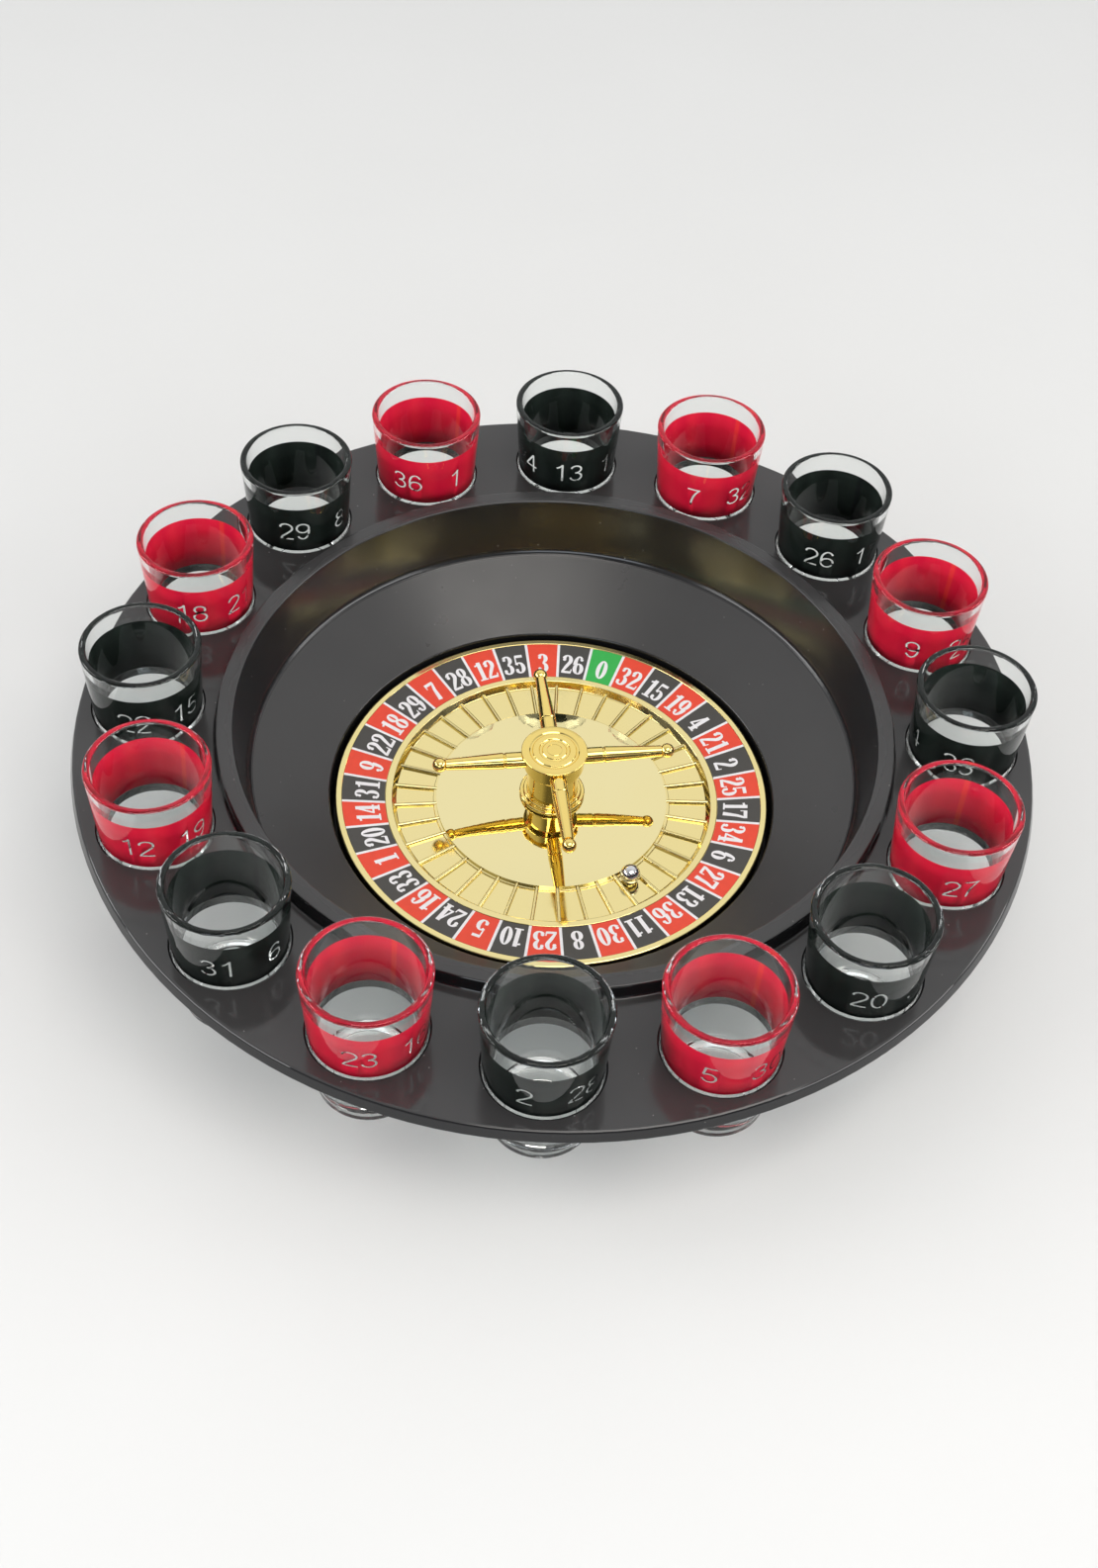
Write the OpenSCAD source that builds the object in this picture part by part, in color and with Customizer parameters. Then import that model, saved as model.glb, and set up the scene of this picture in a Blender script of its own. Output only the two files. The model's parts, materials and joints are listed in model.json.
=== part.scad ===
// Roulette set for the table: a black tray with a ring of sixteen shot glasses
// round a bowl, a gold wheel turning on a steel spindle, and one steel ball.
// The origin is on the wheel's axis, at the surface that the tray stands on.

/* [Tray] */
// Radius of the lip's lower edge, the widest part of the tray
tray_r = 149; // [147:0.5:155]
// Height of the flange's top face
flange_z = 45; // [42:0.5:48]
// Wall thickness of the moulding
wall = 2.6; // [2.2:0.1:3]
// How far the turned-down lip reaches below the flange's top face
lip_drop = 3.8; // [3.4:0.1:8]
// Outer radius of the raised rim
rim_r = 105.2; // [104:0.1:106]
// Width of the rim's flat top
rim_w = 5.6; // [4:0.1:7]
// Height of the rim above the flange
rim_h = 5; // [3:0.1:8]

/* [Bowl] */
// Radius of the ball track at the foot of the bowl's wall
track_r = 96; // [94:0.1:96.5]
// Height of the ball track at the foot of the bowl's wall
track_z = 30; // [26:0.5:34]
// Radius of the well that the wheel turns in
well_r = 71.2; // [70.5:0.1:74]
// Height of the well's upper edge
well_z = 14.3; // [13.5:0.1:18]

/* [Glasses] */
// Radius of the circle that the glasses stand on
ring_r = 126.7; // [125:0.1:128]
// Height of one glass
glass_h = 50.5; // [45:0.5:55]
// Outer radius of a glass at its rim
glass_top_r = 18.4; // [17.8:0.1:18.6]
// Outer radius of a glass at its foot
glass_foot_r = 15; // [14:0.1:15.4]
// Wall thickness of a glass
glass_wall = 2.1; // [1.4:0.1:2.4]
// Thickness of a glass's base
glass_base = 7.4; // [5:0.1:10]
// Height of a glass's foot above the table
glass_z = 20.8; // [18:0.1:24]
// Height of the printed band's lower edge above the flange
band_gap = 0.4; // [0.2:0.1:3]
// Width of the printed band
band_w = 18.7; // [12:0.1:20]

/* [Wheel] */
// Outer radius of the wheel
wheel_r = 69.7; // [68:0.1:70]
// Height of the wheel's outer rim
wheel_z = 13.4; // [12.5:0.1:14]
// Outer radius of the printed number ring
numbers_r = 67.4; // [66.5:0.1:68]
// Inner radius of the printed number ring
numbers_in_r = 53.7; // [52:0.1:54]
// Outer radius of the pockets, at the top of their sloping wall
pocket_r = 51.5; // [50:0.1:51.8]
// Radius of the domed centre disc
disc_r = 37.2; // [36:0.1:38.5]
// Angle of the zero's pocket
zero_angle = 75; // [0:0.1:360]

/* [Turret] */
// Height of the turret's top
turret_z = 33.3; // [32:0.1:36]
// Radius of the turret's cap
cap_r = 10.5; // [10:0.1:12]
// Distance from the axis to the centre of an arm's ball end
arm_r = 36.3; // [34:0.1:37]
// Angle of the first arm
arm_angle = 8.8; // [0:0.1:90]
// Radius of the steel ball
ball_r = 3.175; // [2.5:0.025:3.175]

/* [Hidden] */
$fn = 96;
GLASSES = 16;
POCKETS = 37;
ARMS = 4;
EPS = 0.01;

// Tray
boss_r = 7;
boss_z = 5;
floor_z = wall;
foot_in_r = 64;
foot_step = 0.6;
rim_in_r = rim_r - rim_w;
rim_z = flange_z + rim_h;
flange_r = tray_r - 1.1;
edge_round = 1.1;
hole_top_r = 17.15;
hole_foot_r = 16.5;
hole_step = 360 / GLASSES;

// Spindle
spindle_r = 2.5;
spindle_head_r = 5;
spindle_head_h = 1.6;
spindle_z = 23.6;
bush_r = 3.6;
bush_clearance = 0.03;
washer_h = 0.9;
axial_play = 0.05;
clip_r = 4.2;
clip_h = 0.5;

// Wheel
hub_r = 5;
hub_foot_z = boss_z + washer_h + 2 * axial_play;
hub_top_z = 21.6;
wheel_foot_z = 5;
pocket_z = 9.5;
ring_z = 11.7;
web = 2;
pocket_slope = 1.4;
rib_w = 1.2;
rib_z = 10.5;
ledge_w = 1;
ledge_z = 10;
pocket_step = 360 / POCKETS;
seat_in_z = ring_z - 0.45;
seat_out_z = wheel_z - 0.45;
paper_h = 0.25;
rim_in_wheel_r = numbers_r + 0.05;
ball_pocket = 13;
ball_pos_r = 41;

// Centre disc
disc_edge_z = 10.8;
disc_top_z = 13;
disc_t = 1.1;

// Turret
stem_r = 8.2;
socket_r = 9.6;
collar_r = 10.5;
collar_step_r = 9.3;
socket_h = 5.6;
cap_h = 1;
cap_spigot_r = 6;
arm_z = turret_z - cap_h - 2.7;
arm_root_r = 2.6;
arm_neck_r = 1.8;
arm_tip_r = 2.35;
arm_pin_r = 1.3;
arm_pin_in = 6.2;
ferrule_r = 15.4;

// Glass bands
band_t = 0.12;
band_z = flange_z + band_gap - glass_z;

function two_digits(i) = str(i < 10 ? "0" : "", i);
function glass_name(i) = str("glass_", two_digits(i + 1));
function band_name(i) = str("band_", two_digits(i + 1));
function arm_name(i) = str("turret_arm_", i + 1);
// The first glass is at the back, and the count runs clockwise.
function glass_angle(i) = 90 - i * hole_step;
// Height of the number ring's seat at radius r
function seat_z(r) =
    seat_in_z + (seat_out_z - seat_in_z) * (r - numbers_in_r) / (numbers_r - numbers_in_r);
function glass_r_at(h) = glass_foot_r + (glass_top_r - glass_foot_r) * h / glass_h;

// Points of a round corner of radius r at b, on the way from a to c
function corner(a, b, c, r, steps = 6) =
    let (
        u = (a - b) / norm(a - b),
        v = (c - b) / norm(c - b),
        half = acos(max(-1, min(1, u * v))) / 2,
        mid = (u + v) / norm(u + v),
        centre = b + mid * r / sin(half),
        p = b + u * r / tan(half) - centre,
        side = sign(u[0] * v[1] - u[1] * v[0]),
        sweep = 180 - 2 * half
    )
    [for (k = [0:steps])
        let (t = side * sweep * k / steps)
        centre + [p[0] * cos(t) + p[1] * sin(t), p[1] * cos(t) - p[0] * sin(t)]];

// Outline through points [x, y, corner radius], each corner with a radius made round
function outline(points) = [
    for (i = [0:len(points) - 1])
        let (
            n = len(points),
            a = points[(i + n - 1) % n],
            b = points[i],
            c = points[(i + 1) % n]
        )
        each b[2] > 0
            ? corner([a[0], a[1]], [b[0], b[1]], [c[0], c[1]], b[2])
            : [[b[0], b[1]]]
];

module turned(points) {
    rotate_extrude() polygon(outline(points));
}

// ---- Tray ----

module tray_body() {
    turned([
        [0, foot_step, 0],
        [foot_in_r, foot_step, 0.3],
        [foot_in_r + 1, 0, 0],
        [well_r + wall, 0, 1.5],
        [well_r + wall, well_z - 3.3, 3],
        [track_r + 2.4, track_z - 2.6, 4],
        [rim_in_r + wall, flange_z - wall - 0.1, 1],
        [flange_r - wall - 0.2, flange_z - wall - 0.1, 1],
        [tray_r - wall, flange_z - lip_drop, 0.4],
        [tray_r, flange_z - lip_drop, 0.4],
        [flange_r, flange_z, edge_round],
        [rim_r, flange_z, 0.8],
        [rim_r - 0.3, rim_z, 0.7],
        [rim_in_r, rim_z, 0.7],
        [track_r, track_z, 3.5],
        [well_r, well_z, 1],
        [well_r, floor_z, 1.5],
        [boss_r + 1, floor_z, 1],
        [boss_r, boss_z, 0],
        [0, boss_z, 0]
    ]);
}

// A hole tapers with the glass, so that the glass hangs in it by its wall.
module glass_hole() {
    h = wall + 0.2;
    translate([0, 0, flange_z - h])
        cylinder(r1 = hole_foot_r, r2 = hole_top_r, h = h + EPS);
    translate([0, 0, flange_z - h - 1])
        cylinder(r = hole_foot_r, h = 1 + EPS);
    translate([0, 0, flange_z - 0.4])
        cylinder(r1 = hole_top_r, r2 = hole_top_r + 0.5, h = 0.4 + EPS);
}

module tray() {
    color("#1b1a1d") difference() {
        tray_body();
        for (i = [0:GLASSES - 1])
            rotate(glass_angle(i)) translate([ring_r, 0, 0]) glass_hole();
        translate([0, 0, -EPS]) cylinder(r = spindle_r, h = boss_z + 1);
        translate([0, 0, -EPS]) cylinder(r = spindle_head_r + 0.3, h = foot_step + spindle_head_h + EPS);
    }
}

// ---- Spindle and bearing ----

module spindle() {
    head_z = foot_step;
    color("silver") {
        translate([0, 0, head_z]) turned([
            [0, 0, 0],
            [spindle_head_r, 0, 0.4],
            [spindle_head_r, spindle_head_h, 0],
            [spindle_r, spindle_head_h, 0],
            [spindle_r, spindle_z - head_z, 0.5],
            [0, spindle_z - head_z, 0]
        ]);
    }
}

module thrust_washer() {
    color("ivory") translate([0, 0, boss_z]) difference() {
        cylinder(r = boss_r - 0.5, h = washer_h);
        translate([0, 0, -1]) cylinder(r = spindle_r + 0.1, h = washer_h + 2);
    }
}

module hub_bush() {
    color("goldenrod") translate([0, 0, hub_foot_z]) difference() {
        cylinder(r = bush_r, h = hub_top_z - hub_foot_z);
        translate([0, 0, -1]) cylinder(r = spindle_r + bush_clearance, h = hub_top_z);
    }
}

module retaining_clip() {
    slots = 6;
    color("gray") translate([0, 0, hub_top_z + 3 * axial_play]) difference() {
        cylinder(r = clip_r, h = clip_h);
        translate([0, 0, -1]) cylinder(r = spindle_r, h = clip_h + 2);
        for (i = [0:slots - 1])
            rotate(i * 360 / slots) translate([spindle_r - 0.3, -0.25, -1])
                cube([0.9, 0.5, clip_h + 2]);
    }
}

// ---- Wheel ----

module rotor_body() {
    turned([
        [bush_r, hub_foot_z, 0],
        [hub_r + 2.5, hub_foot_z, 0.5],
        [hub_r + 2.5, pocket_z - web, 1],
        [numbers_in_r - 0.8, pocket_z - web, 1],
        [numbers_r - web, seat_out_z - web - 0.4, 1],
        [wheel_r - web, wheel_foot_z, 0.4],
        [wheel_r, wheel_foot_z, 0.4],
        [wheel_r, wheel_z, 0.7],
        [rim_in_wheel_r, wheel_z, 0.25],
        [rim_in_wheel_r, seat_z(rim_in_wheel_r), 0],
        [numbers_in_r - 0.05, seat_z(numbers_in_r - 0.05), 0],
        [numbers_in_r - 0.05, ring_z, 0.25],
        [pocket_r, ring_z, 0.4],
        [pocket_r - pocket_slope, pocket_z, 0.5],
        [disc_r + ledge_w, pocket_z, 0.1],
        [disc_r + ledge_w, ledge_z, 0.2],
        [disc_r + 0.05, ledge_z, 0],
        [disc_r + 0.05, pocket_z, 0],
        [hub_r, pocket_z, 0],
        [hub_r, hub_top_z, 0.4],
        [bush_r, hub_top_z, 0]
    ]);
}

// One low rib between two pockets, rounded along its top
module pocket_rib() {
    run = pocket_r - disc_r - 0.5;
    round_r = rib_w / 2;
    translate([disc_r + 0.1, 0, 0]) rotate([90, 0, 90]) linear_extrude(run) union() {
        translate([-round_r, pocket_z - 0.5]) square([rib_w, rib_z - round_r - pocket_z + 0.5]);
        translate([0, rib_z - round_r]) circle(r = round_r, $fn = 24);
    }
}

module rotor() {
    color("gold") union() {
        rotor_body();
        for (i = [0:POCKETS - 1])
            rotate(zero_angle - (i + 0.5) * pocket_step) pocket_rib();
    }
}

module number_ring() {
    color("firebrick") turned([
        [numbers_in_r, seat_in_z, 0],
        [numbers_r, seat_out_z, 0],
        [numbers_r, seat_out_z + paper_h, 0],
        [numbers_in_r, seat_in_z + paper_h, 0]
    ]);
}

// Arc over the disc from its rim to the turret's bore, sunk by t
function dome(t, steps = 14) =
    let (
        rise = disc_top_z - disc_edge_z,
        sphere_r = (disc_r * disc_r + rise * rise) / (2 * rise),
        in_r = hub_r + 0.05,
        out_r = disc_r - t
    )
    [for (k = [0:steps])
        let (r = out_r + (in_r - out_r) * k / steps)
        [r, disc_top_z - t - sphere_r + sqrt(sphere_r * sphere_r - r * r)]];

module centre_disc() {
    top = dome(0);
    under = dome(disc_t);
    skirt = [[disc_r - disc_t, pocket_z], [disc_r, pocket_z]];
    color("palegoldenrod") rotate_extrude()
        polygon(concat(skirt, top, [for (k = [len(under) - 1:-1:0]) under[k]]));
}

// ---- Turret ----

module turret_stem() {
    foot_z = disc_top_z - 0.03;
    socket_z = turret_z - cap_h - socket_h;
    bore_top_z = turret_z - 7;
    color("gold") difference() {
        turned([
            [0, foot_z, 0],
            [collar_r - 0.3, foot_z, 0],
            [collar_r, foot_z + 0.4, 0.4],
            [collar_r, foot_z + 1.5, 0.6],
            [collar_step_r, foot_z + 1.5, 0.2],
            [collar_step_r, foot_z + 2.4, 0.5],
            [stem_r, foot_z + 2.4, 0.2],
            [stem_r, socket_z - 1.3, 0.6],
            [socket_r, socket_z, 0.9],
            [socket_r, turret_z - cap_h, 0],
            [0, turret_z - cap_h, 0]
        ]);
        translate([0, 0, foot_z - 1]) cylinder(r = hub_r, h = bore_top_z - foot_z + 1);
        translate([0, 0, turret_z - cap_h - 0.8]) cylinder(r = cap_spigot_r, h = 1);
        for (i = [0:ARMS - 1])
            rotate(arm_angle + i * 90) translate([arm_pin_in, 0, arm_z])
                rotate([0, 90, 0]) cylinder(r = arm_pin_r, h = 6);
        for (i = [0:ARMS - 1])
            rotate(arm_angle + i * 90) translate([socket_r - 0.6, 0, arm_z])
                rotate([0, 90, 0]) cylinder(r = arm_root_r, h = 3);
    }
}

module turret_cap() {
    under_z = turret_z - cap_h;
    color("gold") turned([
        [0, under_z - 0.8, 0],
        [cap_spigot_r, under_z - 0.8, 0],
        [cap_spigot_r, under_z, 0],
        [cap_r, under_z, 0.3],
        [cap_r, turret_z - 0.35, 0.3],
        [cap_r - 1, turret_z - 0.15, 0.4],
        [8, turret_z - 0.15, 0.2],
        [7.6, turret_z - 0.45, 0.2],
        [7.1, turret_z - 0.45, 0.2],
        [6.8, turret_z - 0.1, 0.2],
        [5, turret_z, 0.2],
        [4.7, turret_z - 0.4, 0.2],
        [4, turret_z - 0.4, 0.2],
        [3.7, turret_z - 0.1, 0.2],
        [2.5, turret_z - 0.1, 0.1],
        [2.3, turret_z, 0.1],
        [0, turret_z, 0]
    ]);
}

// An arm lies along +X from its pin to its ball end, then turns to its place.
module turret_arm(i) {
    start = socket_r - 0.6;
    neck = arm_r - arm_tip_r + 0.45;
    profile = [
        [0, arm_pin_in, 0],
        [arm_pin_r, arm_pin_in, 0],
        [arm_pin_r, start, 0],
        [arm_root_r, start, 0],
        [arm_root_r, ferrule_r, 0.2],
        [arm_root_r - 0.25, ferrule_r + 0.25, 0],
        [arm_root_r - 0.25, ferrule_r + 0.6, 0],
        [arm_root_r + 0.05, ferrule_r + 0.9, 0.2],
        [arm_neck_r, neck, 0],
        [0, neck, 0]
    ];
    color("gold") rotate(arm_angle + i * 90) translate([0, 0, arm_z]) union() {
        rotate([0, 90, 0]) turned(profile);
        translate([arm_r, 0, 0]) sphere(r = arm_tip_r);
    }
}

module ball() {
    color("silver")
        rotate(zero_angle - ball_pocket * pocket_step)
            translate([ball_pos_r, 0, pocket_z + ball_r + axial_play]) sphere(r = ball_r);
}

// ---- Glasses ----

module glass_shape() {
    in_top_r = glass_top_r - glass_wall;
    in_foot_r = glass_r_at(glass_base) - glass_wall - 0.1;
    turned([
        [0, 0.7, 0],
        [glass_foot_r - 5, 0.7, 1],
        [glass_foot_r - 4, 0, 0.8],
        [glass_foot_r, 0, 1.6],
        [glass_top_r, glass_h, 0.85],
        [in_top_r, glass_h, 0.85],
        [in_foot_r, glass_base, 3.5],
        [0, glass_base, 0]
    ]);
}

module band_shape() {
    low_r = glass_r_at(band_z);
    high_r = glass_r_at(band_z + band_w);
    turned([
        [low_r, band_z, 0],
        [low_r + band_t, band_z, 0],
        [high_r + band_t, band_z + band_w, 0],
        [high_r, band_z + band_w, 0]
    ]);
}

module at_glass(i) {
    rotate(glass_angle(i)) translate([ring_r, 0, glass_z]) children();
}

module glass(i) {
    color("lightcyan", 0.4) at_glass(i) glass_shape();
}

module band(i) {
    color(i % 2 == 0 ? "#101010" : "crimson") at_glass(i) band_shape();
}

tray();
spindle();
thrust_washer();
hub_bush();
retaining_clip();
rotor();
number_ring();
centre_disc();
turret_stem();
turret_cap();
ball();
for (i = [0:ARMS - 1])
    turret_arm(i);
for (i = [0:GLASSES - 1])
    glass(i);
for (i = [0:GLASSES - 1])
    band(i);
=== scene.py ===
"""Looks for the roulette set: a black tray with sixteen shot glasses round a gold number wheel.

The frame is that of the CAD model, in metres: +Z up, +Y to the first glass, at the back. The sizes
of the digits, the card and the films are in millimetres.
"""

import json
import math

import bmesh
import bpy
from mathutils import Matrix, Vector
from mathutils.geometry import delaunay_2d_cdt


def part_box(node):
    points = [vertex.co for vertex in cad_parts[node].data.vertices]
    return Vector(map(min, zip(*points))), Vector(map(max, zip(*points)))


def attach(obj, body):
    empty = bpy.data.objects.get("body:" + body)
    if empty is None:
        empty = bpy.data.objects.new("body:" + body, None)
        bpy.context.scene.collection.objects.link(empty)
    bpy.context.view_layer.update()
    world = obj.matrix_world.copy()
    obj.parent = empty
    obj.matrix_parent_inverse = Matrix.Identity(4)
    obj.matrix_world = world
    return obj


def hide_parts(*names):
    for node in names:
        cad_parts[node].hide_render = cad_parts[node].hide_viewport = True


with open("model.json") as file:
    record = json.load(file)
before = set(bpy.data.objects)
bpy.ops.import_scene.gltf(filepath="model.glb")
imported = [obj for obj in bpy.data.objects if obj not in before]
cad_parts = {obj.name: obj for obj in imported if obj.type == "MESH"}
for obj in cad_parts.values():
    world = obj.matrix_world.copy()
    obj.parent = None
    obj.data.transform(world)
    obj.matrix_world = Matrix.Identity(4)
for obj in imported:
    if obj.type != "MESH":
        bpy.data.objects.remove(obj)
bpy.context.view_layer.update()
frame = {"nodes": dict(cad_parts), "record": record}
NODES = frame["nodes"]
SCENE = bpy.context.scene
MM = 0.001

# ---- Camera ----

# The focal length is in pixels of a picture this high. The place and the angles fit the tray's
# circles and the row of glasses.
IMAGE_HEIGHT = 1585
FOCAL_PIXELS = 2124.5
SENSOR = 36
LENS_SHIFT = (-0.00876, -0.00468)
CAMERA_AT = Vector((-9.38, -447.76, 522.27)) * MM
PITCH, YAW, ROLL = (math.radians(a) for a in (48.226, 1.602, 4.093))


def make_camera():
    data = bpy.data.cameras.new("camera")
    data.sensor_width = SENSOR
    data.lens = FOCAL_PIXELS * SENSOR / IMAGE_HEIGHT
    data.shift_x, data.shift_y = LENS_SHIFT
    data.clip_start, data.clip_end = 0.01, 50
    forward = Vector((math.sin(YAW) * math.cos(PITCH),
                      math.cos(YAW) * math.cos(PITCH),
                      -math.sin(PITCH)))
    right = Vector((math.cos(YAW), -math.sin(YAW), 0))
    up = right.cross(forward)
    turned_right = right * math.cos(ROLL) + up * math.sin(ROLL)
    turned_up = up * math.cos(ROLL) - right * math.sin(ROLL)
    camera = bpy.data.objects.new("camera", data)
    camera.matrix_world = Matrix.Translation(CAMERA_AT) @ Matrix(
        (turned_right, turned_up, -forward)).transposed().to_4x4()
    SCENE.collection.objects.link(camera)
    SCENE.camera = camera


make_camera()

# ---- Material tools ----

SPAN_ENDS = ("From Min", "From Max", "To Min", "To Max")


class Look:
    """One procedural material: a Principled shader and the nodes that feed it."""

    def __init__(self, name, **values):
        self.material = bpy.data.materials.new(name)
        self.material.use_nodes = True
        self.tree = self.material.node_tree
        self.shader = self.tree.nodes["Principled BSDF"]
        self.place = self.node("ShaderNodeTexCoord").outputs["Object"]
        for socket, value in values.items():
            self.shader.inputs[socket.replace("_", " ")].default_value = value

    def node(self, kind, **settings):
        made = self.tree.nodes.new(kind)
        for key, value in settings.items():
            setattr(made, key, value)
        return made

    def link(self, source, target):
        self.tree.links.new(source, target)

    def feed(self, source, socket):
        self.link(source, self.shader.inputs[socket])

    def noise(self, scale, detail=3.0, stretch=None, place=None):
        made = self.node("ShaderNodeTexNoise")
        made.inputs["Scale"].default_value = scale
        made.inputs["Detail"].default_value = detail
        source = place or self.place
        if stretch:
            mapped = self.node("ShaderNodeMapping")
            mapped.inputs["Scale"].default_value = stretch
            self.link(source, mapped.inputs["Vector"])
            source = mapped.outputs["Vector"]
        self.link(source, made.inputs["Vector"])
        return made.outputs["Fac"]

    def specks(self, scale, size):
        """1 inside sparse round specks, 0 elsewhere."""
        cells = self.node("ShaderNodeTexVoronoi")
        cells.inputs["Scale"].default_value = scale
        self.link(self.place, cells.inputs["Vector"])
        return self.span(cells.outputs["Distance"], size, size * 0.6, 0, 1)

    def span(self, source, low, high, to_low, to_high):
        """Maps the values from low to high onto others, and holds them beyond the ends."""
        made = self.node("ShaderNodeMapRange")
        for socket, value in zip(SPAN_ENDS, (low, high, to_low, to_high)):
            made.inputs[socket].default_value = value
        self.link(source, made.inputs["Value"])
        return made.outputs["Result"]

    def math(self, operation, a, b=0):
        made = self.node("ShaderNodeMath", operation=operation)
        for socket, value in zip(made.inputs, (a, b)):
            if isinstance(value, (int, float)):
                socket.default_value = value
            else:
                self.link(value, socket)
        return made.outputs[0]

    def blend(self, amount, first, second):
        """A colour that goes from first to second."""
        made = self.node("ShaderNodeMix", data_type="RGBA")
        self.link(amount, made.inputs["Factor"])
        for socket, value in ((made.inputs[6], first), (made.inputs[7], second)):
            if isinstance(value, tuple):
                socket.default_value = (*value, 1)
            else:
                self.link(value, socket)
        return made.outputs[2]

    def bump(self, height, distance, strength):
        made = self.node("ShaderNodeBump")
        made.inputs["Strength"].default_value = strength
        made.inputs["Distance"].default_value = distance
        self.link(height, made.inputs["Height"])
        self.feed(made.outputs["Normal"], "Normal")

    def radius(self):
        """Distance from the wheel's axis."""
        flat = self.node("ShaderNodeVectorMath", operation="MULTIPLY")
        flat.inputs[1].default_value = (1, 1, 0)
        self.link(self.place, flat.inputs[0])
        length = self.node("ShaderNodeVectorMath", operation="LENGTH")
        self.link(flat.outputs["Vector"], length.inputs[0])
        return length.outputs["Value"]

    def split(self, vector):
        made = self.node("ShaderNodeSeparateXYZ")
        self.link(vector, made.inputs[0])
        return made.outputs


# ---- Materials ----

# On the tray: radii in metres, and the upward share of the surface normal
BOWL_TO_DECK = (0.100, 0.107)
DECK_TO_RIM = (0.1462, 0.1470)
WALL_TO_FLAT = (0.77, 0.83)
# On a film: radians from the side across from its seam
SEAM_ANGLES = (3.085, 3.10)


def black_plastic():
    """Etched satin moulding with a little dust: smoother on the deck than in the bowl.

    Its steep walls are polished, and their base colour is made much darker as painted shade.
    """
    look = Look("tray_black", IOR=1.5)
    dust = look.specks(190, 0.045)
    normal = look.node("ShaderNodeNewGeometry").outputs["Normal"]
    flat = look.span(look.split(normal)["Z"], *WALL_TO_FLAT, 0, 1)
    etched = look.blend(look.noise(14, 4), (0.030, 0.0295, 0.0305), (0.043, 0.042, 0.042))
    # Painted shade: steep walls, found from the surface normal, get a near-black base colour instead
    # of the etched one
    etched_with_painted_wall_shade = look.blend(flat, (0.008, 0.008, 0.009), etched)
    look.feed(look.blend(dust, etched_with_painted_wall_shade, (0.16, 0.155, 0.15)), "Base Color")
    satin = look.span(look.radius(), *BOWL_TO_DECK, 0.30, 0.13)
    edge = look.span(look.radius(), *DECK_TO_RIM, 0, -0.05)
    grain = look.span(look.noise(60, 5), 0.3, 0.7, -0.03, 0.04)
    polish = look.span(flat, 0, 1, -0.13, 0)
    rough = look.math("ADD", look.math("ADD", satin, grain), look.math("ADD", polish, edge))
    look.feed(look.math("ADD", rough, look.math("MULTIPLY", dust, 0.4)), "Roughness")
    look.bump(look.noise(900, 2), 0.00002, 0.2)
    return look.material


def plating(name, colour, deep, rough):
    """Vacuum plating on moulded plastic: a mirror with slight waves and a faint haze."""
    look = Look(name, Metallic=1.0)
    look.feed(look.blend(look.noise(30, 3), colour, deep), "Base Color")
    look.feed(look.span(look.noise(220, 4), 0.3, 0.7, rough * 0.6, rough * 1.5), "Roughness")
    look.bump(look.noise(160, 2), 0.00004, 0.12)
    return look.material


def printed(name, colour):
    """Ink on the number ring's glossy card."""
    look = Look(name, IOR=1.5)
    darker = tuple(c * 0.86 for c in colour)
    look.feed(look.blend(look.noise(500, 3), darker, colour), "Base Color")
    look.feed(look.span(look.noise(700, 3), 0.3, 0.7, 0.3, 0.42), "Roughness")
    look.bump(look.noise(1500, 2), 0.00001, 0.2)
    return look.material


def turned_metal(name, colour, rough):
    """Metal with fine turning marks round its upright axis."""
    look = Look(name, Metallic=1.0)
    darker = tuple(c * 0.8 for c in colour)
    look.feed(look.blend(look.noise(300, 3, (1, 1, 8)), darker, colour), "Base Color")
    marks = look.noise(500, 3, (1, 1, 12))
    look.feed(look.span(marks, 0.3, 0.7, rough * 0.7, rough * 1.4), "Roughness")
    look.bump(look.noise(800, 2, (1, 1, 12)), 0.00001, 0.2)
    return look.material


def ball_steel():
    """Polished steel with a few dull spots."""
    look = Look("ball_steel", Metallic=1.0)
    look.feed(look.blend(look.noise(600, 3), (0.62, 0.62, 0.64), (0.72, 0.72, 0.73)), "Base Color")
    look.feed(look.span(look.noise(1500, 4), 0.35, 0.7, 0.04, 0.14), "Roughness")
    return look.material


def nylon():
    """Dull, off-white plastic."""
    look = Look("nylon", IOR=1.53)
    look.feed(look.blend(look.noise(400, 3), (0.62, 0.58, 0.48), (0.75, 0.72, 0.62)), "Base Color")
    look.feed(look.span(look.noise(900, 3), 0.3, 0.7, 0.45, 0.6), "Roughness")
    look.bump(look.noise(1200, 2), 0.00001, 0.3)
    return look.material


def clear_glass():
    """Pressed glass, slightly wavy. Lamps shine through it without a black shadow."""
    look = Look("clear_glass", Transmission_Weight=1.0, IOR=1.38,
                Base_Color=(0.965, 0.985, 0.975, 1))
    look.feed(look.span(look.noise(350, 3), 0.45, 0.8, 0.0, 0.02), "Roughness")
    look.bump(look.noise(45, 1), 0.00002, 0.04)
    output = look.tree.nodes["Material Output"]
    clear = look.node("ShaderNodeBsdfTransparent")
    clear.inputs["Color"].default_value = (0.93, 0.96, 0.945, 1)
    rays = look.node("ShaderNodeLightPath")
    mix = look.node("ShaderNodeMixShader")
    look.link(rays.outputs["Is Shadow Ray"], mix.inputs["Fac"])
    look.link(look.shader.outputs["BSDF"], mix.inputs[1])
    look.link(clear.outputs["BSDF"], mix.inputs[2])
    look.link(mix.outputs["Shader"], output.inputs["Surface"])
    return look.material


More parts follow.
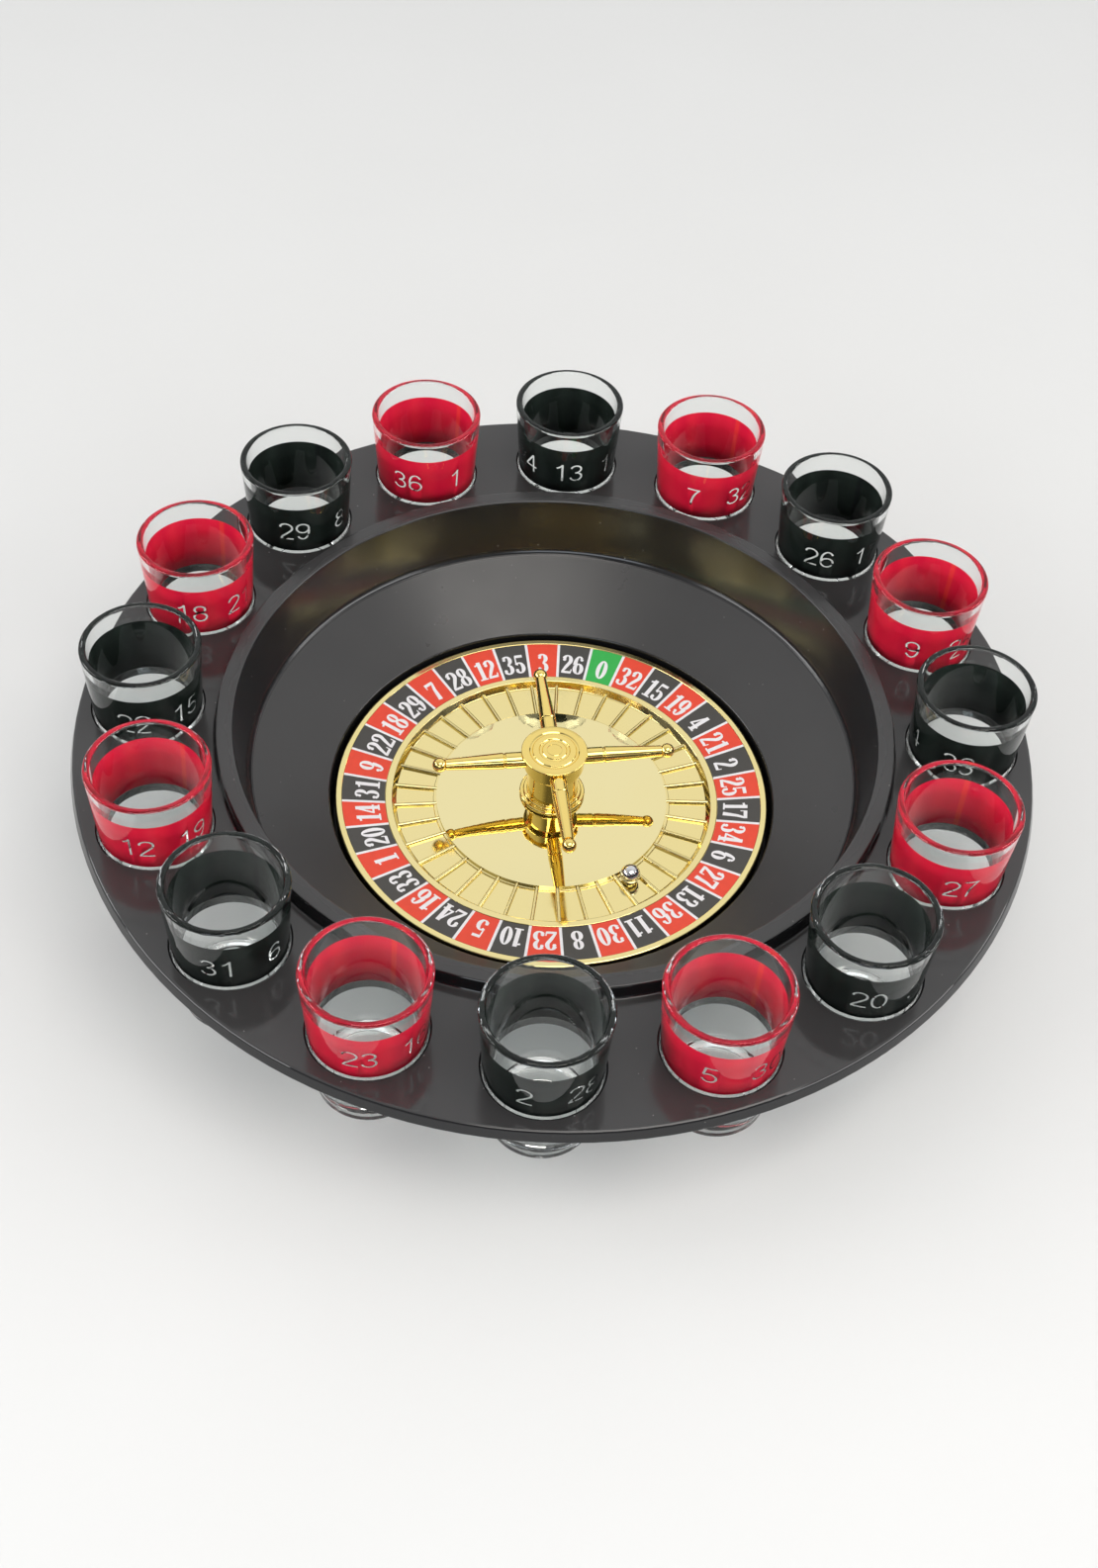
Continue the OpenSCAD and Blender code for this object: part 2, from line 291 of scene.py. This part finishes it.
def film(name, colour, light, overlap, through):
    """Printed film on a glass: streaky ink, with an overlap seam where its ends meet."""
    look = Look(name, IOR=1.05, Specular_IOR_Level=0.05, Transmission_Weight=through)
    around = look.node("ShaderNodeUVMap", uv_map="around").outputs["UV"]
    streaks = look.span(look.noise(2.2, 1, (1, 0.05, 1), around), 0.35, 0.68, 0, 1)
    tinted = look.blend(streaks, colour, light)
    from_middle = look.math("ABSOLUTE", look.split(around)["X"])
    seam = look.span(from_middle, *SEAM_ANGLES, 0, 0.7)
    look.feed(look.blend(seam, tinted, overlap), "Base Color")
    look.feed(look.span(look.noise(700, 3), 0.3, 0.7, 0.3, 0.42), "Roughness")
    look.bump(look.noise(600, 2), 0.000004, 0.15)
    return look.material


GOLD = (0.88, 0.76, 0.38)
GOLD_DEEP = (0.87, 0.72, 0.31)
GOLD_PALE = (0.88, 0.78, 0.43)
TURRET_GOLD = (0.93, 0.73, 0.25)
TURRET_DEEP = (0.90, 0.67, 0.19)
LOOKS = {
    "tray_black": black_plastic(),
    "gold_plate": plating("gold_plate", GOLD, GOLD_DEEP, 0.09),
    "turret_gold": plating("turret_gold", TURRET_GOLD, TURRET_DEEP, 0.05),
    "gold_mirror": plating("gold_mirror", GOLD_PALE, GOLD, 0.03),
    "steel": turned_metal("steel", (0.55, 0.55, 0.56), 0.25),
    "bush_brass": turned_metal("bush_brass", (0.75, 0.56, 0.26), 0.25),
    "ball_steel": ball_steel(),
    "nylon": nylon(),
    "clear_glass": clear_glass(),
    "film_black": film("film_black", (0.006, 0.008, 0.007), (0.012, 0.016, 0.014),
                       (0.004, 0.004, 0.005), 0.05),
    "film_red": film("film_red", (0.56, 0.009, 0.038), (0.65, 0.018, 0.044),
                     (0.70, 0.038, 0.034), 0.22),
}
INKS = {
    "red": printed("ink_red", (0.84, 0.060, 0.022)),
    "black": printed("ink_black", (0.058, 0.054, 0.048)),
    "green": printed("ink_green", (0.030, 0.46, 0.075)),
    "white": printed("ink_white", (0.90, 0.88, 0.90)),
}

# The turret has a look of its own in the slot that it shares with the other plated pieces
for part in frame["record"]["subparts"]:
    slot_name = part["material_slot"]
    look_name = "turret_gold" if part["node"].startswith("turret") else slot_name
    if look_name in LOOKS:
        NODES[part["node"]].data.materials[0] = LOOKS[look_name]

# ---- Digits ----

# A digit is drawn by strokes in a space one unit high. A stroke is a list of (x, y, half width).
# A disc's first and last points have this half width.
TIP = 0.002


def line(*points, w):
    return [(x, y, w) for x, y in points]


def arc(cx, cy, rx, ry, start, end, side, top=None, steps=14):
    """Part of an ellipse, in degrees.

    Its half width is side at the sides, and top at the top and the foot.
    """
    top = side if top is None else top
    points = []
    for k in range(steps + 1):
        a = math.radians(start + (end - start) * k / steps)
        width = top + (side - top) * abs(math.cos(a)) ** 1.3
        points.append((cx + rx * math.cos(a), cy + ry * math.sin(a), width))
    return points


def disc(cx, cy, r):
    return [(cx, cy + r * math.sin(math.radians(a)), r * math.cos(math.radians(a)) + TIP)
            for a in range(-80, 81, 20)]


def half_turn(strokes, width):
    return [[(width - x, 1 - y, w) for x, y, w in stroke] for stroke in strokes]


def thin_digits():
    """Light sans serif, as on the glasses."""
    t = 0.04
    six = [arc(0.285, 0.305, 0.235, 0.258, 0, 360, t, steps=26),
           arc(0.29, 0.48, 0.24, 0.472, 188, 38, t)]
    return {
        "0": [arc(0.28, 0.5, 0.232, 0.45, 0, 360, t, steps=30)],
        "1": [line((0.35, 0), (0.35, 1), w=t),
              line((0.355, 0.97), (0.28, 0.87), (0.20, 0.80), (0.11, 0.755), w=t)],
        "2": [arc(0.285, 0.712, 0.235, 0.238, 178, -38, t)
              + line((0.30, 0.37), (0.13, 0.19), (0.055, 0.06), w=t),
              line((0.02, t), (0.54, t), w=t)],
        "3": [arc(0.262, 0.742, 0.2, 0.208, 168, -82, t),
              arc(0.262, 0.286, 0.232, 0.236, 98, -165, t)],
        "4": [line((0.42, 0.98), (0.03, 0.31), w=t), line((0.0, 0.30), (0.57, 0.30), w=t),
              line((0.42, 0), (0.42, 1), w=t)],
        "5": [line((0.13, 0.95), (0.51, 0.95), w=t), line((0.15, 0.98), (0.075, 0.5), w=t),
              arc(0.27, 0.315, 0.238, 0.265, 142, -160, t)],
        "6": six,
        "7": [line((0.03, 0.95), (0.54, 0.95), w=t),
              line((0.505, 0.96), (0.37, 0.75), (0.27, 0.5), (0.215, 0.25), (0.2, 0), w=t)],
        "8": [arc(0.28, 0.748, 0.195, 0.202, 0, 360, t, steps=24),
              arc(0.28, 0.292, 0.232, 0.242, 0, 360, t, steps=26)],
        "9": half_turn(six, 0.57),
    }


def slab_digits():
    """Bold condensed slab serif, as on the number ring."""
    s, h = 0.088, 0.034
    six = [arc(0.24, 0.3, 0.15, 0.266, 0, 360, s, h, 22),
           arc(0.252, 0.5, 0.162, 0.466, 180, 52, s, h),
           disc(0.36, 0.8, 0.07)]
    return {
        "0": [arc(0.235, 0.5, 0.148, 0.466, 0, 360, s, h, 26)],
        "1": [line((0.26, 0.02), (0.26, 1), w=s), line((0.08, 0.036), (0.43, 0.036), w=0.036),
              line((0.26, 0.955), (0.17, 0.86), (0.06, 0.83), w=0.045)],
        "2": [arc(0.228, 0.735, 0.152, 0.231, 165, -28, s, h)
              + [(0.22, 0.38, 0.075), (0.08, 0.10, 0.05)],
              disc(0.1, 0.735, 0.075), line((0.03, 0.062), (0.44, 0.062), w=0.062),
              line((0.425, 0.03), (0.45, 0.24), w=0.026)],
        "3": [arc(0.205, 0.756, 0.145, 0.21, 150, -85, s, h),
              arc(0.205, 0.268, 0.16, 0.234, 92, -150, s, h),
              disc(0.09, 0.8, 0.068), disc(0.08, 0.2, 0.073)],
        "4": [line((0.3, 0.97), (0.05, 0.29), w=0.042), line((0.01, 0.275), (0.47, 0.275), w=0.042),
              line((0.32, 0.02), (0.32, 1), w=s), line((0.17, 0.036), (0.46, 0.036), w=0.036)],
        "5": [line((0.08, 0.925), (0.42, 0.925), w=0.072), line((0.1, 0.95), (0.085, 0.48), w=0.03),
              arc(0.212, 0.305, 0.16, 0.27, 140, -150, s, h), disc(0.085, 0.2, 0.07)],
        "6": six,
        "7": [line((0.03, 0.922), (0.45, 0.922), w=0.075), line((0.05, 0.95), (0.045, 0.72), w=0.025),
              [(0.41, 0.9, 0.05), (0.3, 0.58, 0.07), (0.2, 0.0, 0.095)]],
        "8": [arc(0.235, 0.75, 0.127, 0.216, 0, 360, s * 0.9, h, 22),
              arc(0.235, 0.268, 0.15, 0.234, 0, 360, s, h, 22)],
        "9": half_turn(six, 0.475),
    }


def ribbon(stroke):
    """The four-cornered pieces of one stroke."""
    sides = []
    closed = math.dist(stroke[0][:2], stroke[-1][:2]) < 1e-6
    last = len(stroke) - 1
    for k, (x, y, w) in enumerate(stroke):
        before = stroke[k - 1] if k else (stroke[last - 1] if closed else stroke[0])
        after = stroke[k + 1] if k < last else (stroke[1] if closed else stroke[last])
        across = Vector((before[1] - after[1], after[0] - before[0])).normalized()
        sides.append((Vector((x, y)) + across * w, Vector((x, y)) - across * w))
    return [(a[0], b[0], b[1], a[1]) for a, b in zip(sides, sides[1:])]


def number_shapes(text, digits, size, advance, widths, stretch=1.0):
    """Pieces of a number, centred on the origin. Advance is the gap between its digits."""
    total = sum(widths[c] for c in text) + advance * (len(text) - 1)
    at = -total / 2
    shapes = []
    for c in text:
        for stroke in digits[c]:
            for piece in ribbon(stroke):
                shapes.append([Vector(((corner.x + at) * size * stretch, (corner.y - 0.5) * size))
                               for corner in piece])
        at += widths[c] + advance
    return shapes


def divide(faces):
    """Cuts overlapping flat faces into triangles: (points, [(triangle, the faces it lies in)])."""
    points, rings = [], []
    for face in faces:
        area = sum(a.x * b.y - b.x * a.y for a, b in zip(face, face[1:] + face[:1]))
        rings.append(list(range(len(points), len(points) + len(face))))
        points += face if area > 0 else face[::-1]
    out, _, triangles, _, _, owners = delaunay_2d_cdt(points, [], rings, 1, 1e-5)
    return out, list(zip(triangles, owners))


def add_mesh(name, points, faces, materials, indices=None):
    mesh = bpy.data.meshes.new(name)
    mesh.from_pydata(points, [], faces)
    for material in materials:
        mesh.materials.append(material)
    if indices:
        mesh.polygons.foreach_set("material_index", indices)
    mesh.validate()
    piece = bpy.data.objects.new(name, mesh)
    SCENE.collection.objects.link(piece)
    return piece


def thicken(piece, thickness):
    """Gives a skin a back, on the side away from its normals."""
    solid = piece.modifiers.new("thickness", "SOLIDIFY")
    solid.thickness = thickness
    solid.offset = -1


def weld(piece, distance):
    """Joins points that meet, so that the piece is one skin."""
    work = bmesh.new()
    work.from_mesh(piece.data)
    bmesh.ops.remove_doubles(work, verts=work.verts, dist=distance)
    work.to_mesh(piece.data)
    work.free()


# ---- Number ring ----

# The numbers, clockwise from zero. Lengths are in millimetres, and angles in degrees from +X.
WHEEL_ORDER = (0, 32, 15, 19, 4, 21, 2, 25, 17, 34, 6, 27, 13, 36, 11, 30, 8, 23, 10,
               5, 24, 16, 33, 1, 20, 14, 31, 9, 22, 18, 29, 7, 28, 12, 35, 3, 26)
ZERO_ANGLE = 75
NUMBERS_IN_R = 53.7
RING_CARD = 0.25
SEPARATOR = 0.9
RING_DIGIT = 7.8
RING_DIGIT_IN = 1.8
SLAB_ADVANCE = 0.03
SLAB_WIDTHS = {c: 0.47 for c in "0123456789"} | {"1": 0.42, "7": 0.46}
RING_INKS = ("green", "red", "black", "white")
RING_WELD = 1e-6
FIELD_STEPS = 8


def ray(angle):
    """A flat unit vector, the angle in radians."""
    return Vector((math.cos(angle), math.sin(angle)))


def number_ring():
    """The printed card: a coloured field for each number, white digits and white lines between."""
    low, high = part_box("number_ring")
    out_r = high.x / MM
    in_r = NUMBERS_IN_R
    slope = ((high.z - low.z) / MM - RING_CARD) / (out_r - in_r)
    digits = slab_digits()
    pitch = math.radians(360 / len(WHEEL_ORDER))
    half = FIELD_STEPS // 2
    points, faces, colours = [], [], []
    for k, number in enumerate(WHEEL_ORDER):
        middle = math.radians(ZERO_ANGLE) - k * pitch
        field = [ray(middle + t * pitch / FIELD_STEPS) for t in range(-half, half + 1)]
        outline = [p * out_r for p in field] + [p * in_r for p in reversed(field)]
        bars = []
        for along in (field[0], field[-1]):
            across = Vector((-along.y, along.x)) * SEPARATOR / 2
            bars.append([along * in_r - across, along * out_r - across,
                         along * out_r + across, along * in_r + across])
        up = ray(middle)
        right = Vector((up.y, -up.x))
        centre = up * (in_r + RING_DIGIT_IN + RING_DIGIT / 2)
        shapes = [[centre + right * p.x + up * p.y for p in piece]
                  for piece in number_shapes(str(number), digits, RING_DIGIT, SLAB_ADVANCE,
                                             SLAB_WIDTHS)]
        made, triangles = divide([outline] + bars + shapes)
        field_ink = RING_INKS.index("green" if number == 0 else ("black", "red")[k % 2])
        start = len(points)
        points += made
        for triangle, owners in triangles:
            if 0 in owners:
                faces.append([start + v for v in triangle])
                colours.append(RING_INKS.index("white") if len(owners) > 1 else field_ink)
    lifted = [(p.x * MM, p.y * MM, high.z - (out_r - p.length) * slope * MM) for p in points]
    piece = add_mesh("printed_numbers", lifted, faces, [INKS[c] for c in RING_INKS], colours)
    weld(piece, RING_WELD)
    thicken(piece, RING_CARD * MM)
    return piece


ring = number_ring()
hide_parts("number_ring")
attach(ring, "wheel")

# ---- Bands on the glasses ----

# The numbers on each glass, clockwise from the back, and the direction that the first one faces
GLASSES = (
    ("24 13 10", -144.5), ("7 32", -107), ("26 17", -106), ("9 25", -106),
    ("4 33", -162), ("27 14", -86), ("20 35", -93), ("5 30", -105),
    ("2 28", -107), ("23 16", -92), ("31 6", -92), ("12 19", -96),
    ("22 15", -92.5), ("18 21", -90), ("29 8", -88), ("36 1", -108),
)
# Angles are in degrees, and lengths in millimetres
NUMBER_STEP = 57
SEAM_FROM_FIRST = 160
BAND_DIGIT = 7.4
DIGIT_STRETCH = 1.17
DIGIT_MIDDLE = 0.47
THIN_ADVANCE = 0.08
THIN_WIDTHS = {c: 0.56 for c in "0123456789"}
GLASS_TAPER = 3.4 / 50.5
BAND_THICKNESS = 0.12
SUNK = 0.05
FILM = 0.09
COLUMNS, ROWS = 96, 3
FULL_TURN = 2 * math.pi
BAND_WELD = 2e-6


def band(index, text, facing):
    """A film round one glass, just under its surface, with digits cut out of it."""
    name = f"band_{index + 1:02d}"
    low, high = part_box(name)
    centre = (low + high) / 2
    top_r = (high.x - low.x) / 2
    foot_r = top_r - (high.z - low.z) * GLASS_TAPER
    mean_r = (top_r + foot_r) / 2 / MM
    width = (high.z - low.z) / MM
    length = FULL_TURN * mean_r
    cells = []
    for c in range(COLUMNS):
        x0, x1 = (length * (c + d) / COLUMNS for d in (0, 1))
        for r in range(ROWS):
            y0, y1 = (width * (r + d) / ROWS for d in (0, 1))
            cells.append([Vector((x0, y0)), Vector((x1, y0)), Vector((x1, y1)), Vector((x0, y1))])
    digits = thin_digits()
    shapes = []
    seam = math.radians(facing + SEAM_FROM_FIRST)
    for k, number in enumerate(text.split()):
        angle = (math.radians(facing + k * NUMBER_STEP) - seam) % FULL_TURN
        middle = Vector((angle * mean_r, width * DIGIT_MIDDLE))
        shapes += [[p + middle for p in piece]
                   for piece in number_shapes(number, digits, BAND_DIGIT, THIN_ADVANCE, THIN_WIDTHS,
                                              DIGIT_STRETCH)]
    made, triangles = divide(cells + shapes)
    kept = [t for t, owners in triangles if max(owners) < len(cells)]
    points = []
    for p in made:
        a = p.x / mean_r + seam
        r = foot_r + (top_r - foot_r) * p.y / width - (SUNK + BAND_THICKNESS) * MM
        points.append((centre.x + r * math.cos(a), centre.y + r * math.sin(a), low.z + p.y * MM))
    slot_name = "film_black" if index % 2 == 0 else "film_red"
    piece = add_mesh(f"film_{index + 1:02d}", points, kept, [LOOKS[slot_name]])
    layer = piece.data.uv_layers.new(name="around")
    for loop in piece.data.loops:
        p = made[loop.vertex_index]
        layer.data[loop.index].uv = ((p.x / length - 0.5) * FULL_TURN, p.y / width)
    weld(piece, BAND_WELD)
    for polygon in piece.data.polygons:
        polygon.use_smooth = True
    thicken(piece, FILM * MM)
    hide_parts(name)
    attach(piece, f"shot_glass_{index + 1:02d}")


for i, (numbers, direction) in enumerate(GLASSES):
    band(i, numbers, direction)

# ---- Floor, lights ----

# In metres. The floor is just below the feet of the glasses.
FLOOR_HALF = 6
FLOOR_Z = -0.0002
LIGHTS_AIM = Vector((0, 0, 0.02))
# Name, place, size, brightness and colour
SOFTBOXES = (
    ("back", (0.0, 1.45, 1.95), (3.4, 1.9), 0.16, (1, 1, 1)),
    ("top", (0.25, -0.5, 1.25), (1.1, 0.7), 3.6, (1.0, 0.96, 0.91)),
    ("left", (-1.75, -0.35, 0.8), (1.9, 0.6), 5.4, (1, 1, 1)),
    ("right", (1.75, -0.35, 0.8), (1.9, 0.6), 4.8, (1, 1, 1)),
    ("front", (-0.2, -1.8, 0.68), (1.5, 0.55), 3.4, (0.84, 0.92, 1.0)),
)


def floor():
    look = Look("floor", Specular_IOR_Level=0.3)
    look.feed(look.blend(look.noise(6, 3), (0.65, 0.65, 0.642), (0.69, 0.69, 0.685)), "Base Color")
    look.feed(look.span(look.noise(300, 3), 0.3, 0.7, 0.6, 0.75), "Roughness")
    corners = [(x * FLOOR_HALF, y * FLOOR_HALF, FLOOR_Z)
               for x, y in ((-1, -1), (1, -1), (1, 1), (-1, 1))]
    add_mesh("floor", corners, [(0, 1, 2, 3)], [look.material])


def softbox(name, at, size, brightness, colour):
    data = bpy.data.lights.new(name, "AREA")
    data.shape = "RECTANGLE"
    data.size, data.size_y = size
    data.energy = brightness * math.pi * size[0] * size[1]
    data.color = colour
    light = bpy.data.objects.new(name, data)
    light.location = at
    light.rotation_euler = (LIGHTS_AIM - Vector(at)).to_track_quat("-Z", "Y").to_euler()
    SCENE.collection.objects.link(light)


def room():
    """Surroundings that are paler at the back and have one dark patch, high up in front."""
    world = bpy.data.worlds.new("world")
    world.use_nodes = True
    nodes, links = world.node_tree.nodes, world.node_tree.links
    outward = nodes.new("ShaderNodeTexCoord").outputs["Generated"]

    def fade(direction, start, end, first, last):
        along = nodes.new("ShaderNodeVectorMath")
        along.operation = "DOT_PRODUCT"
        links.new(outward, along.inputs[0])
        along.inputs[1].default_value = direction
        ramp = nodes.new("ShaderNodeMapRange")
        for socket, value in zip(SPAN_ENDS, (start, end, first, last)):
            ramp.inputs[socket].default_value = value
        links.new(along.outputs["Value"], ramp.inputs["Value"])
        return ramp.outputs["Result"]

    strength = nodes.new("ShaderNodeMath")
    strength.operation = "MULTIPLY"
    links.new(fade((0, 1, 0), -0.6, 0.5, 0.42, 0.80), strength.inputs[0])
    links.new(fade((0, -0.66, 0.75), 0.85, 0.96, 1.0, 0.34), strength.inputs[1])
    background = nodes["Background"]
    background.inputs["Color"].default_value = (0.98, 0.99, 1.0, 1)
    links.new(strength.outputs["Value"], background.inputs["Strength"])
    SCENE.world = world


floor()
room()
for box in SOFTBOXES:
    softbox(*box)
SCENE.view_settings.view_transform = "Standard"
